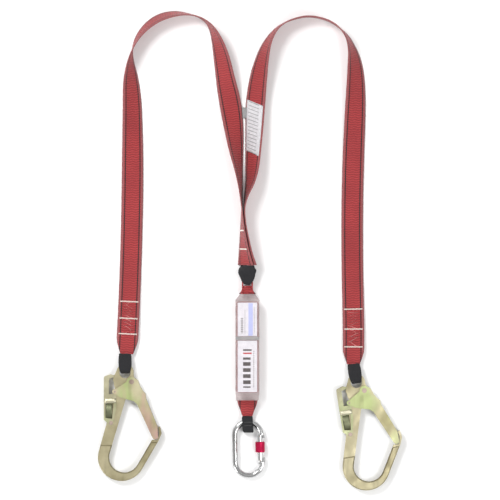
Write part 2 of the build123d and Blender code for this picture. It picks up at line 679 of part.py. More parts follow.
def absorber():
    """The tear-webbing pack in its clear cover, with a loop at each end."""
    x = ABSORBER_X
    with BuildPart() as pack:
        with BuildSketch(Plane.XY.offset(PACK_BASE)):
            with Locations((x, PACK_CENTRE_Y)):
                RectangleRounded(PACK_WIDTH, PACK_LENGTH, PACK_CORNER)
        extrude(amount=PACK_TOP - PACK_BASE)
        # the folds of the tear webbing show as grooves along both sides
        sides = [(x - PACK_WIDTH / 2, PACK_CENTRE_Y), (x + PACK_WIDTH / 2, PACK_CENTRE_Y)]
        for level in GROOVE_LEVELS:
            with BuildSketch(Plane.XY.offset(level)):
                with Locations(*sides):
                    Rectangle(2 * GROOVE_DEPTH, GROOVE_LENGTH)
            extrude(amount=GROOVE_DEPTH, mode=Mode.SUBTRACT)
    save(pack, "tear_webbing_pack")

    half = COVER_WIDTH / 2
    shoulder, shoulder_y = COVER_SHOULDER
    foot, foot_y = COVER_FOOT
    pocket = (COVER_WIDTH - 2 * COVER_WALL, PACK_LENGTH + 2 * POCKET_GAP)
    with BuildPart() as cover:
        with BuildSketch():
            with BuildLine():
                Polyline(
                    (x - half, foot_y), (x - half, shoulder_y), (x - shoulder, COVER_TOP),
                    (x + shoulder, COVER_TOP), (x + half, shoulder_y), (x + half, foot_y),
                    (x + foot, COVER_BOTTOM), (x - foot, COVER_BOTTOM),
                    close=True,
                )
            make_face()
        extrude(amount=COVER_HEIGHT)
        chamfer(cover.faces().sort_by(Axis.Z)[-1].edges(), COVER_EDGE)
        with BuildSketch(Plane.XY.offset(COVER_WALL)):
            with Locations((x, PACK_CENTRE_Y)):
                RectangleRounded(*pocket, COVER_CORNER)
        extrude(amount=COVER_HEIGHT - 2 * COVER_WALL, mode=Mode.SUBTRACT)
    save(cover, "absorber_cover")

    label_base = PACK_TOP + 0.05
    label_top = label_base + LABEL_THICKNESS
    block("upper_label", x, *UPPER_LABEL_Y, LABEL_WIDTH, label_base, label_top)
    block("lower_label", x, *LOWER_LABEL_Y, LABEL_WIDTH, label_base, label_top)
    divider_top = COVER_HEIGHT + DIVIDER_THICKNESS
    block("cover_divider", x, *DIVIDER_Y, COVER_WIDTH - 2, COVER_HEIGHT, divider_top)

    with BuildPart() as loop:
        with BuildSketch(Plane.XY.offset(LOOP_BASE)):
            with BuildLine():
                for radius in (LOOP_INNER, LOOP_OUTER):
                    ThreePointArc(
                        (x - radius, LOOP_CENTRE_Y), (x, LOOP_CENTRE_Y + radius),
                        (x + radius, LOOP_CENTRE_Y),
                    )
                    Line((x - radius, LOOP_CENTRE_Y), (x - radius, COVER_TOP))
                    Line((x + radius, LOOP_CENTRE_Y), (x + radius, COVER_TOP))
                Line((x - LOOP_OUTER, COVER_TOP), (x - LOOP_INNER, COVER_TOP))
                Line((x + LOOP_OUTER, COVER_TOP), (x + LOOP_INNER, COVER_TOP))
            make_face()
        extrude(amount=LOOP_TOP - LOOP_BASE)
        # the gathered webbing below the eye
        for y, width, base, top in LOOP_BUNDLE:
            place = Plane((x, y, (base + top) / 2), x_dir=(-1, 0, 0), z_dir=(0, -1, 0))
            with BuildSketch(place):
                Rectangle(width, top - base)
        loft(ruled=True)
    save(loop, "absorber_top_loop")

    with BuildPart() as strap:
        for y, width, thickness in BOTTOM_STRAP:
            place = Plane((x, y, CARABINER_HEIGHT), x_dir=(-1, 0, 0), z_dir=(0, -1, 0))
            with BuildSketch(place):
                Rectangle(width, thickness)
        loft(ruled=True)
    save(strap, "absorber_bottom_loop")

    # black fold round the carabiner's bar
    plane = Plane((x, CARABINER_PLACE[1], CARABINER_HEIGHT))
    block_size = (-7.0, 12.0, 5.0, 12.0, 8.6)
    upper = [(2.0, 5.4, 7.4, 20, 0), (0, 31.5, 7.4, 20, 0), (0, 35.5, 1.0, 19, 0)]
    lower = [(2.0, 5.4, -7.0, 20, 0), (0, 31.5, -7.0, 20, 0), (0, 35.5, -1.0, 20, 0)]
    folded_sleeve("absorber_loop_sleeve", plane, block_size, upper, lower)
    stitch_base = CARABINER_HEIGHT + upper[0][2] + FOLD_LAYER / 2 + TACK_GAP
    with BuildPart() as stitching:
        with BuildSketch(Plane.XY.offset(stitch_base)):
            with Locations([(x + aside, y) for aside, y in LOOP_TACK_PLACES]):
                Rectangle(LOOP_TACK_LENGTH, LOOP_TACK_WIDTH)
        extrude(amount=TACK_THICKNESS)
    save(stitching, "absorber_loop_stitching")


def junction():
    """Black fold through the absorber's top loop, fanning out to the two legs."""
    plane = Plane((ABSORBER_X, LOOP_CENTRE_Y, 10.0))
    block_size = (-5.0, 5.0, -5.0, 0.0, 9.7)
    upper = [(0, -5, 8.1, 14, 0), (0, 12, 8.1, 20, 0), (-3.2, 31.6, 5.7, 34, 45)]
    lower = [(0, -5, -8.1, 14, 0), (0, 12, -8.1, 20, 0), (2.8, 31.6, 5.7, 34, 45)]
    folded_sleeve("junction_sleeve", plane, block_size, upper, lower)


def junction_stitching(frames):
    """Tacks across the start of the left leg."""
    with BuildPart() as stitching:
        for frame in [frames[i] for i in JUNCTION_TACK_FRAMES]:
            normal = frame.z_dir.cross(frame.x_dir)
            centre = frame.origin + normal * (WEBBING_THICKNESS / 2 + TACK_GAP)
            with BuildSketch(Plane(centre, x_dir=frame.x_dir, z_dir=normal)):
                Rectangle(JUNCTION_TACK_LENGTH, TACK_WIDTH)
            extrude(amount=TACK_THICKNESS)
    save(stitching, "junction_stitching")


os.makedirs("parts", exist_ok=True)
left_frames, left_lengths = webbing_leg("left", LEFT_ROUTE)
right_frames, right_lengths = webbing_leg("right", RIGHT_ROUTE)
leg_stitching("left", left_frames, left_lengths)
leg_stitching("right", right_frames, right_lengths)
id_label(right_frames)
junction()
junction_stitching(left_frames)
absorber()
carabiner()
for side in HOOK_EYES:
    eye_sleeve(side)
    hook(side)
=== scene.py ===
from math import cos, pi, radians, sin

import bpy
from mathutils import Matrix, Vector


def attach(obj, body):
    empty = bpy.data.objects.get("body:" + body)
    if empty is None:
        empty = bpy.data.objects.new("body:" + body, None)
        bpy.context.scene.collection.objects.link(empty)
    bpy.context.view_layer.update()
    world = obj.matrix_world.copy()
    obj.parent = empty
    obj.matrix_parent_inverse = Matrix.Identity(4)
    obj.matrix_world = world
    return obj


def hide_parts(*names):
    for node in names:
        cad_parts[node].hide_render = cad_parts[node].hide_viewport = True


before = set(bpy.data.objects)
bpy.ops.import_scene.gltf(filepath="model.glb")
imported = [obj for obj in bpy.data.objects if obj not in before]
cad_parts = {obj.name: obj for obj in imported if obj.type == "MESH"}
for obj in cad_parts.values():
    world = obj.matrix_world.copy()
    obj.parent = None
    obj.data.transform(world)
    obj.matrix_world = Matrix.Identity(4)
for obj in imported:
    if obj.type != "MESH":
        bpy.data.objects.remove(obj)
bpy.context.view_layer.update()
RIGHT = Vector((1, 0, 0))
UP = Vector((0, 0, 1))

# ---------------------------------------------------------------- sizes, in metres

# Webbing of the legs. Rolls are divided by ROLL_SCALE to become lengths, and each leg's line has
# LINE_STEPS steps for one control point.
WEBBING_WIDTH = 0.040
WEBBING_THICKNESS = 0.0024
FLOOR_MARGIN = 0.0008
ROLL_SCALE = 1000
LINE_STEPS = 8
# each leg is doubled back and sewn near its hook, and narrows into the eye sleeve
DOUBLED_THICKNESS = 0.0050
DOUBLED_LENGTH = 0.107
DOUBLED_POINTS = 3
LEG_END_WIDTH = 0.024
LEG_END_TAPER = 0.024
HOOK_END_LIFT = [0.0042, 0.0020, 0.0006]
SLEEVE_THICKNESS = 0.0030

# share of a band's thickness that is left at its edges
EDGE_THINNING = 0.45

# the weave
TWILL_PITCH = 0.0024
COARSE_TWILL_PITCH = 0.0020
TAG_TWILL_PITCH = 0.0012
RIB_PITCH = 0.0044
RIB_WAVE_WIDTH = 0.0130
RIB_WAVE_DEPTH = 0.0007
SELVEDGE_FROM = 0.0158
STRIPE_SPAN = (0.0126, 0.0148)
STITCH_PITCH = 0.0040
STITCH_GAP = 0.24

# sewing: bars and zigzags near the hook end, and bars near the junction, by distance from it
TACK_DISTANCES = (0.033, 0.066, 0.099)
TACK_HALF_WIDTH = 0.0165
TACK_THREAD = 0.00035
TACK_PITCH = 0.0009
TACK_LEAN = 0.0003
TACK_HALF_LENGTH = 0.0012
TACK_LIFT = 0.0003
JUNCTION_TACKS = (0.030, 0.064)
JUNCTION_TACK_HALF_WIDTH = 0.014
JUNCTION_TACK_LIFT = 0.0004
ZIGZAG_FROM_TACK = 0.002
ZIGZAG_LENGTH = 0.029
ZIGZAG_HALF_WIDTHS = (0.0095, 0.0055)
ZIGZAG_PITCH = 0.006
ZIGZAG_THREAD = 0.00042
ZIGZAG_LIFT = 0.0002

# the tag on the right leg, and the flap behind it
TAG_SPAN = (0.412, 0.512)
TAG_X_LIMIT = 0.06
TAG_WIDTH = 0.034
TAG_THICKNESS = 0.0008
TAG_LIFT = 0.0007
TAG_SLANT = 0.30
TAG_ROW_PITCH = 0.0065
TAG_ROW_SHARE = 0.22
TAG_ROW_SPAN = (-0.013, 0.009)
FLAP_FROM_MIDDLE = 0.0165
FLAP_OUT = 0.0045
FLAP_DROP = 0.010
FLAP_STEP = 0.005
FLAP_ROWS = 5
FLAP_WIDTH = 0.012
FLAP_NARROWING = 0.0012
FLAP_THICKNESS = 0.0006

# absorber: tear webbing folded in layers inside a clear cover, with a loop at each end
ABSORBER_X = -0.0048
COVER_TOP = 0.1546
COVER_BOTTOM = -0.0415
PACK_SPAN = (-0.0240, 0.1380)
PACK_LAYERS = 7
PACK_LAYER_RISE = 0.0034
PACK_FIRST_LAYER_HEIGHT = 0.0030
PACK_WIDTH = 0.0405
PACK_THICKNESS = 0.0028
PACK_LAYER_STEPS = 12
LOOP_CENTRE_Y = 0.1764
LOOP_HEIGHT = 0.010
LOOP_HALF_WIDTH = 0.0088
LOOP_STRAIGHT = 0.008
LOOP_STRAP_WIDTH = 0.012
LOOP_STRAP_THICKNESS = 0.0030
LOOP_ARC_STEPS = 12
GATHERED_THICKNESS = 0.0090
FOLD_TACK_ROWS = (-0.088, -0.082)
FOLD_TACK_STITCHES = 16
FOLD_TACK_FROM_MIDDLE = 0.006
FOLD_TACK_HEIGHT = 0.0183
FOLD_TACK_HALF_LENGTH = 0.0009
FOLD_TACK_LEAN = 0.0004
FOLD_TACK_THREAD = 0.0003

# the clear cover's two windows, and how opaque they and its rim are
WINDOW_HALF_WIDTH = 0.0180
WINDOW_SPANS = ((0.077, 0.139), (-0.026, 0.069))
WINDOW_ALPHA = 0.08
RIM_ALPHA = 0.34
WELD_RIB_PITCH = 0.0016

# hardware places: x, y, height and turn in degrees
HOOK_PLACES = {"left": (-0.2308, 0.010, 0.010, 0.0), "right": (0.1965, -0.0083, 0.010, 9.0)}
CARABINER_PLACE = (ABSORBER_X, -0.1066, 0.009, 0.0)
JUNCTION_PLACE = (ABSORBER_X, LOOP_CENTRE_Y, LOOP_HEIGHT, 0.0)

# on each lock lever: local x, y and height of the rows of the bright step and of the dark plate that
# paints the shade in the recess below it
STEP_ROWS = [(-0.0275, -0.0480, 0.0069), (-0.0275, -0.0520, 0.0070), (-0.0275, -0.0562, 0.0069)]
STEP_WIDTH = 0.0222
STEP_THICKNESS = 0.0012
PLATE_ROWS = [(-0.0290, -0.0575, 0.0058), (-0.0295, -0.0700, 0.0055), (-0.0300, -0.0850, 0.0058)]
PLATE_WIDTH = 0.0125
PLATE_THICKNESS = 0.0010

# Bands folded through an eye: local x, y and height, then width and roll in degrees
EYE_SLEEVE_POINTS = [
    (0, 0.0345, -0.0018, 0.022, 0), (0, 0.026, 0.0022, 0.024, 0),
    (0, 0.017, 0.0064, 0.024, 0), (0, 0.007, 0.0066, 0.022, 0),
    (0, 0.001, 0.0052, 0.018, 0), (0, -0.0008, 0, 0.017, 0),
    (0, 0.001, -0.0052, 0.018, 0), (0, 0.007, -0.0066, 0.022, 0),
    (0, 0.017, -0.0066, 0.024, 0), (0, 0.0345, -0.0042, 0.022, 0),
]
JUNCTION_FOLD_POINTS = [
    (-0.0032, 0.0316, 0.0057, 0.034, 45), (-0.0014, 0.022, 0.0078, 0.033, 18),
    (0, 0.012, 0.0083, 0.029, 0), (0, 0.003, 0.0083, 0.022, 0),
    (0, -0.0025, 0.0062, 0.0125, 0), (0, -0.0034, 0, 0.0098, 0),
    (0, -0.0025, -0.0058, 0.0125, 0), (0, 0.003, -0.0072, 0.020, 0),
    (0, 0.011, -0.0070, 0.026, 0), (0.0012, 0.021, -0.0026, 0.030, 14),
    (0.0028, 0.0316, 0.0040, 0.034, 45),
]
CARABINER_FOLD_POINTS = [
    (0, 0.0352, 0.0010, 0.018, 0), (0, 0.0315, 0.0068, 0.020, 0),
    (0, 0.022, 0.0074, 0.020, 0), (0.001, 0.012, 0.0074, 0.020, 0),
    (0.002, 0.0075, 0.0050, 0.019, 0), (0.0025, 0.0066, 0, 0.018, 0),
    (0.002, 0.0075, -0.0050, 0.019, 0), (0.001, 0.012, -0.0070, 0.020, 0),
    (0, 0.022, -0.0070, 0.020, 0), (0, 0.0315, -0.0068, 0.020, 0),
    (0, 0.0352, -0.0010, 0.018, 0),
]
GATHERED_POINTS = [
    (0, 0.1695, 0.0098, 0.0145, -24), (0, 0.1650, 0.0102, 0.018, -14),
    (0, 0.159, 0.0112, 0.024, 8), (0, 0.1550, 0.0116, 0.032, 0),
]
# the strap below the cover: y, height, width and thickness
BOTTOM_LOOP_ROWS = [
    (COVER_BOTTOM, 0.009, 0.038, 0.0085), (-0.050, 0.009, 0.034, 0.0085),
    (-0.060, 0.009, 0.026, 0.0075), (-0.0705, 0.009, 0.019, 0.0060),
]

# ---------------------------------------------------------------- colours and looks


def grey(value):
    return (value, value, value, 1.0)


# Where a colour starts and where it is full, in a noise and in the height of a weave. A noise's
# scale is about its number of features in a metre.
NOISE_SPAN = (0.3, 0.7)
WEAVE_SPAN = (0.2, 0.8)

# red webbing
# rib colours: painted shade in the rib valleys, painted light on the crests
RIB_VALLEY_SHADE = (0.17, 0.009, 0.012, 1)
RIB_CREST_LIGHT = (0.43, 0.040, 0.042, 1)
WORN_RED = (0.19, 0.012, 0.016, 1)
SELVEDGE_RED = (0.25, 0.080, 0.082, 1)
STITCH_BLACK = (0.012, 0.008, 0.010, 1)
STRIPE_RED = (0.075, 0.010, 0.012, 1)
FINE_THREAD_TO_RIDGE = 0.6
TWILL_SHARE_OF_RELIEF = 0.35
# how strongly the relief of the ribs and of the twill paints shade and light into the webbing's colour
RIB_SHADING_CONTRAST = 0.20
TWILL_SHADING_CONTRAST = 0.15
WORN_STRENGTH = 0.45
SELVEDGE_STRENGTH = 0.75

# name, dark and light of the other webbings and of the threads; a webbing's dark is painted shade in
# its twill valleys and its light is painted light on its ridges
WEBBINGS = {
    "black": ("black_webbing", grey(0.008), (0.030, 0.030, 0.034, 1)),
    "tear": ("tear_webbing", (0.26, 0.03, 0.035, 1), (0.46, 0.10, 0.10, 1)),
    "flap": ("grey_flap", grey(0.20), grey(0.34)),
}
THREADS = {
    "white_thread": ("white_thread", (0.62, 0.56, 0.50, 1), (0.86, 0.80, 0.74, 1)),
    "red_thread": ("red_thread", (0.46, 0.10, 0.10, 1), (0.66, 0.26, 0.25, 1)),
    "black_thread": ("black_thread", grey(0.01), grey(0.06)),
}

# the tag, the cover and its weld
TAG_SHADE = (0.52, 0.51, 0.53, 1)
TAG_WHITE = (0.66, 0.65, 0.67, 1)
TAG_ROW_GREY = grey(0.16)
TAG_ROW_STRENGTH = 0.7
COVER_SMOKE = (0.36, 0.27, 0.27, 1)
COVER_PALE_SMOKE = (0.58, 0.48, 0.48, 1)
WELD_DARK = grey(0.24)
WELD_LIGHT = (0.36, 0.33, 0.33, 1)

# labels: white stock, and plain bars. A bar is x from and to, both from the absorber's middle,
# y from and to, the pitch of its rows or 0 for a solid bar, and its colour
STOCK_SHADE = (0.66, 0.65, 0.70, 1)
STOCK_WHITE = (0.76, 0.75, 0.79, 1)
PALE_BLUE = (0.45, 0.50, 0.82, 1)
LABEL_RED = (0.45, 0.02, 0.03, 1)
INK = grey(0.03)
FINE_PRINT = grey(0.22)
PRINTED_SHARE = 0.62
UPPER_LABEL_BARS = [
    (0.002, 0.010, 0.078, 0.138, 0, PALE_BLUE),
    (-0.012, -0.008, 0.082, 0.112, 0.004, FINE_PRINT),
    (-0.005, -0.004, 0.082, 0.125, 0.003, FINE_PRINT),
    (0.012, 0.013, 0.082, 0.130, 0.003, FINE_PRINT),
]
LOWER_LABEL_BARS = [
    (-0.008, 0.006, -0.018, 0.038, 0.0112, INK),
    (-0.008, 0.008, 0.044, 0.047, 0, LABEL_RED),
    (-0.008, 0.008, 0.050, 0.053, 0, INK),
    (0.011, 0.0125, -0.018, 0.050, 0.004, FINE_PRINT),
]

# metal. METAL_RELIEF is in metres, and the grain and the dents rise that many times as high
CLOUD_SCALE = 14.0
CLOUD_SPAN = (0.35, 0.65)
GRAIN_SCALE = 420.0
GRAIN_ROUGHNESS = 0.18
GRAIN_RISE = 0.3
DENT_SCALE = 40.0
DENT_RISE = 12.0
METAL_RELIEF = 0.00022
# painted shade on metal rims and sides: where it fades out by how far the normal points up, and how
# dark it gets
SIDE_SHADE_FADE = (0.60, 0.94)
SIDE_SHADE_BRIGHTNESS = 0.30
SCUFF_SCALE = 75.0
SCUFF_LENGTHWISE = 0.12
SCUFF_TURN = -24
SCUFF_FADE = (0.56, 0.72)
SCUFF_STRENGTH = 0.22
SCUFF_BRIGHTNESS = 0.45
TINT_LENGTHWISE = 0.45
# each tint reads its own part of the noise, so that the patches don't coincide
TINT_SHIFT = Vector((3.1, 1.7, 0.0))
# scale, where a patch starts and is full, and colour
GREEN_TINT = (16.0, 0.50, 0.60, (0.42, 0.56, 0.20, 1))
PINK_TINT = (20.0, 0.54, 0.64, (0.72, 0.38, 0.42, 1))
METALS = {
    "hook": {
        "name": "zinc_hook", "dark": (0.36, 0.31, 0.17, 1), "light": (0.74, 0.67, 0.44, 1),
        "roughness": 0.24, "side_shade_strength": 0.75,
    },
    "gate": {
        "name": "zinc_gate", "dark": (0.42, 0.38, 0.21, 1), "light": (0.68, 0.63, 0.42, 1),
        "roughness": 0.32, "side_shade_strength": 0.85,
        "tints": (GREEN_TINT, PINK_TINT), "tint_strength": 0.60,
    },
    "lever": {
        "name": "zinc_lever", "dark": (0.40, 0.37, 0.22, 1), "light": (0.80, 0.75, 0.52, 1),
        "roughness": 0.22, "side_shade_strength": 0.85,
        "tints": (GREEN_TINT,), "tint_strength": 0.38,
    },
    "bright": {
        "name": "zinc_step", "dark": (0.50, 0.47, 0.33, 1), "light": (0.72, 0.69, 0.52, 1),
        "roughness": 0.40,
    },
    # a darkened copy of the lever's zinc: painted shade for the lever's recess
    "shade": {
        "name": "zinc_shade", "dark": (0.10, 0.11, 0.07, 1), "light": (0.22, 0.23, 0.14, 1),
        "roughness": 0.42,
    },
    "rivet": {
        "name": "rivet_steel", "dark": (0.28, 0.20, 0.16, 1), "light": (0.50, 0.40, 0.34, 1),
        "roughness": 0.35,
    },
    "steel": {"name": "spring_steel", "dark": grey(0.35), "light": grey(0.55), "roughness": 0.3},
    "polished": {"name": "polished_zinc", "dark": grey(0.42), "light": grey(0.78), "roughness": 0.10},
    "crimson": {
        "name": "crimson_anodised", "dark": (0.22, 0.008, 0.030, 1), "light": (0.50, 0.02, 0.075, 1),
        "roughness": 0.3,
    },
}

# what each CAD node of a hook, and each other visible CAD node, is dressed in: node, look, and
# the width of its eased edges
HOOK_LOOKS = (
    ("hook_body", "hook", 0.0010), ("gate", "gate", 0.0007), ("lock_lever", "lever", 0.0006),
    ("gate_pivot_rivet", "rivet", 0.0004), ("lever_rivet", "rivet", 0.0004),
    ("gate_tail_pin", "rivet", 0.0004), ("gate_spring", "steel", 0.0),
    ("lever_spring", "steel", 0.0),
)
OTHER_LOOKS = (
    ("carabiner_body", "polished", 0.0003), ("carabiner_gate", "polished", 0.0),
    ("carabiner_hinge_pin", "rivet", 0.0), ("carabiner_latch_pin", "rivet", 0.0),
    ("carabiner_gate_spring", "steel", 0.0), ("carabiner_plunger", "steel", 0.0),
    ("screw_sleeve", "crimson", 0.0002), ("absorber_cover", "cover", 0.0004),
    ("cover_divider", "weld", 0.0), ("upper_label", "upper_label", 0.0),
    ("lower_label", "lower_label", 0.0),
)
EASED_ABOVE_DEGREES = 35

# camera, floor and lights
VIEW_WIDTH = 0.925
VIEW_CENTRE = (0.0, 0.236)
CAMERA_HEIGHT = 8.0
CAMERA_REACH = 40.0
SENSOR_MM = 36.0
FLOOR_REACH = 6.0
FLOOR_CENTRE = (0, 0.2, -0.0002)
FLOOR_SHADE = grey(0.90)
FLOOR_WHITE = grey(0.92)
SKY_STRENGTH = 0.95
# brightness of the surroundings: how far up the direction points, and the grey there
SKY_STOPS = ((0.10, 1.0), (0.55, 0.35), (0.97, 0.62))
# name, place, size and power in watts
LIGHTS = (
    ("key", (-1.3, 1.5, 2.2), 1.0, 62),
    ("fill", (1.5, -0.7, 2.4), 1.2, 40),
    ("low", (-1.6, -1.2, 0.8), 0.8, 14),
)

# The legs' routes from the junction to the hooks: x, y and roll in degrees, as in part.py
LEFT_ROUTE = [
    (-0.008, 0.208, -135), (-0.010, 0.226, -122), (-0.012, 0.246, -112), (-0.014, 0.278, -100),
    (-0.015, 0.314, -90), (-0.017, 0.350, -80), (-0.021, 0.386, -68), (-0.026, 0.422, -48),
    (-0.030, 0.462, -28), (-0.036, 0.506, 0), (-0.045, 0.550, 30), (-0.052, 0.590, 42),
    (-0.060, 0.622, 60), (-0.071, 0.648, 78), (-0.088, 0.664, 90), (-0.110, 0.671, 94),
    (-0.138, 0.673, 108), (-0.170, 0.665, 114), (-0.197, 0.644, 110), (-0.214, 0.618, 100),
    (-0.221, 0.588, 78), (-0.220, 0.550, 46), (-0.2176, 0.510, 32), (-0.217, 0.462, 24),
    (-0.2169, 0.408, 14), (-0.2173, 0.354, 6), (-0.2182, 0.300, 0), (-0.2195, 0.245, 0),
    (-0.2213, 0.190, 0), (-0.2234, 0.136, 0), (-0.2257, 0.086, 0), (-0.228, 0.044, 0),
]
RIGHT_ROUTE = [
    (-0.002, 0.208, 45), (-0.005, 0.226, 58), (-0.007, 0.246, 68), (-0.010, 0.278, 80),
    (-0.011, 0.314, 90), (-0.006, 0.340, 78), (0.001, 0.362, 64), (0.004, 0.388, 50),
    (0.006, 0.420, 45), (0.008, 0.462, 35), (0.010, 0.508, 26), (0.015, 0.552, 36),
    (0.023, 0.592, 54), (0.033, 0.622, 70), (0.048, 0.644, 82), (0.064, 0.656, 88),
    (0.086, 0.664, 90), (0.108, 0.668, 90), (0.132, 0.664, 90), (0.153, 0.656, 90),
    (0.169, 0.643, 87), (0.181, 0.628, 78), (0.187, 0.612, 70), (0.192, 0.592, 55),
    (0.195, 0.564, 39), (0.1955, 0.530, 27), (0.1943, 0.488, 15), (0.1923, 0.440, 8),
    (0.1906, 0.388, 2), (0.1894, 0.335, 0), (0.1889, 0.280, 0), (0.1891, 0.226, 0),
    (0.1899, 0.174, 0), (0.191, 0.122, 0), (0.1918, 0.073, 0), (0.191, 0.025, 0),
]


# ---------------------------------------------------------------- camera


def add_camera():
    """A camera straight above, with VIEW_WIDTH across its picture at the floor."""
    data = bpy.data.cameras.new("camera")
    data.sensor_width = SENSOR_MM
    data.lens = SENSOR_MM * CAMERA_HEIGHT / VIEW_WIDTH
    data.clip_end = CAMERA_REACH
    camera = bpy.data.objects.new("camera", data)
    camera.location = (*VIEW_CENTRE, CAMERA_HEIGHT)
    bpy.context.scene.collection.objects.link(camera)
    bpy.context.scene.camera = camera


# ---------------------------------------------------------------- material building


class Shader:
    """A principled material with short names for the nodes that it needs."""

    def __init__(self, name, **sockets):
        self.material = bpy.data.materials.new(name)
        self.material.use_nodes = True
        self.tree = self.material.node_tree
        self.bsdf = self.tree.nodes["Principled BSDF"]
        for socket, value in sockets.items():
            self.bsdf.inputs[socket.replace("_", " ")].default_value = value

    def node(self, kind, **values):
        node = self.tree.nodes.new(kind)
        for key, value in values.items():
            setattr(node, key, value)
        return node

    def link(self, source, target):
        self.tree.links.new(source, target)

    def put(self, target, value):
        if hasattr(value, "links"):
            self.link(value, target)
        else:
            target.default_value = value

    def math(self, operation, a, b=0.0):
        node = self.node("ShaderNodeMath", operation=operation)
        self.put(node.inputs[0], a)
        self.put(node.inputs[1], b)
        return node.outputs[0]

    def scaled(self, value, factor, offset):
        """The value times factor, plus offset."""
        node = self.node("ShaderNodeMath", operation="MULTIPLY_ADD")
        self.put(node.inputs[0], value)
        self.put(node.inputs[1], factor)
        self.put(node.inputs[2], offset)
        return node.outputs[0]

    def wave(self, operation, value, pitch):
        """A sine or cosine along value that repeats every pitch."""
        return self.math(operation, self.math("MULTIPLY", value, 2 * pi / pitch))

    def between(self, value, low, high):
        """1 where value is from low to high."""
        above = self.math("GREATER_THAN", value, low)
        below = self.math("LESS_THAN", value, high)
        return self.math("MULTIPLY", above, below)

    def mix(self, factor, a, b):
        """Colour a where factor is 0 and colour b where it is 1."""
        node = self.node("ShaderNodeMix", data_type="RGBA")
        colours = [socket for socket in node.inputs if socket.type == "RGBA"]
        self.put(node.inputs[0], factor)
        self.put(colours[0], a)
        self.put(colours[1], b)
        return next(socket for socket in node.outputs if socket.type == "RGBA")

    def noise(self, scale, detail=3.0, vector=None):
        """Noise that sits on the piece, unless another vector is given."""
        node = self.node("ShaderNodeTexNoise")
        node.inputs["Scale"].default_value = scale
        node.inputs["Detail"].default_value = detail
        self.link(vector if vector else self.place(), node.inputs["Vector"])
        return node.outputs[0]

    def place(self):
        """The point on the piece, in metres."""
        return self.node("ShaderNodeTexCoord").outputs["Object"]

    def axes(self, vector):
        node = self.node("ShaderNodeSeparateXYZ")
        self.link(vector, node.inputs[0])
        return node.outputs

    def woven(self):
        """Across and along the strap, in metres."""
        node = self.node("ShaderNodeUVMap", uv_map="weave")
        axes = self.axes(node.outputs[0])
        return axes[0], axes[1]

    def blend(self, value, dark, light, span=NOISE_SPAN):
        """Colour that goes from dark to light while value goes over span."""
        node = self.node("ShaderNodeValToRGB")
        for element, position, colour in zip(node.color_ramp.elements, span, (dark, light)):
            element.position = position
            element.color = colour
        self.link(value, node.inputs[0])
        return node.outputs[0]

    def fade(self, value, span, start=0.0, end=1.0):
        """Grey that goes from start to end while value goes over span."""
        return self.blend(value, grey(start), grey(end), span)

    def clouds(self, scale, dark, light):
        """Soft patches of dark and light."""
        return self.blend(self.noise(scale), dark, light)

    def bump(self, height, distance, strength=1.0):
        node = self.node("ShaderNodeBump")
        node.inputs["Strength"].default_value = strength
        node.inputs["Distance"].default_value = distance
        self.link(height, node.inputs["Height"])
        self.link(node.outputs[0], self.bsdf.inputs["Normal"])

    def colour(self, value):
        self.link(value, self.bsdf.inputs["Base Color"])

    def roughness(self, value):
        self.link(value, self.bsdf.inputs["Roughness"])


def shaded(colour, share):
    """The colour with its brightness cut to a share."""
    return tuple(share * c for c in colour[:3]) + (1.0,)


def twill(shader, across, along, pitch):
    """Height of a diagonal twill, its ridges pitch apart, with finer threads along the strap."""
    ridges = shader.wave("SINE", shader.math("ADD", across, along), pitch)
    threads = shader.wave("SINE", across, pitch * FINE_THREAD_TO_RIDGE)
    return shader.math("ADD", ridges, shader.math("MULTIPLY", threads, 0.5))


def red_webbing():
    """Red polyester: wavy cross ribs with painted shade in their valleys and painted light on their
    crests, stitched dark stripes and greyed selvedges.
    """
    shader = Shader("red_webbing", Roughness=0.78, Sheen_Weight=0.25, Sheen_Roughness=0.4)
    across, along = shader.woven()
    weave = shader.math("MULTIPLY", twill(shader, across, along, TWILL_PITCH), TWILL_SHARE_OF_RELIEF)
    wave = shader.wave("COSINE", across, RIB_WAVE_WIDTH)
    shifted = shader.math("ADD", along, shader.math("MULTIPLY", wave, RIB_WAVE_DEPTH))
    relief = shader.math("ADD", weave, shader.wave("SINE", shifted, RIB_PITCH))
    # painted shade and light that follow the relief
    relief_shading = shader.scaled(relief, factor=RIB_SHADING_CONTRAST, offset=0.5)
    base = shader.blend(relief_shading, RIB_VALLEY_SHADE, RIB_CREST_LIGHT, WEAVE_SPAN)
    patches = shader.fade(shader.noise(scale=18.0), span=(0.35, 0.75), end=WORN_STRENGTH)
    worn = shader.mix(patches, base, WORN_RED)
    edge = shader.math("ABSOLUTE", across)
    selvedge = shader.math("GREATER_THAN", edge, SELVEDGE_FROM)
    selvedge = shader.math("MULTIPLY", selvedge, SELVEDGE_STRENGTH)
    with_edge = shader.mix(selvedge, worn, SELVEDGE_RED)
    stripe = shader.between(edge, *STRIPE_SPAN)
    stitch = shader.math("FRACT", shader.math("DIVIDE", along, STITCH_PITCH))
    is_gap = shader.math("LESS_THAN", stitch, STITCH_GAP)
    shader.colour(shader.mix(stripe, with_edge, shader.mix(is_gap, STITCH_BLACK, STRIPE_RED)))
    shader.bump(relief, distance=0.0003, strength=0.9)
    return shader.material


def plain_webbing(name, dark, light):
    """Webbing of one colour, in a coarse twill, with painted shade in the twill's valleys and painted
    light on its ridges.
    """
    shader = Shader(name, Roughness=0.8, Sheen_Weight=0.05, Specular_IOR_Level=0.2)
    across, along = shader.woven()
    height = twill(shader, across, along, COARSE_TWILL_PITCH)
    relief_shading = shader.scaled(height, factor=TWILL_SHADING_CONTRAST, offset=0.5)
    shader.colour(shader.blend(relief_shading, dark, light, WEAVE_SPAN))
    shader.bump(height, distance=0.0002, strength=0.7)
    return shader.material


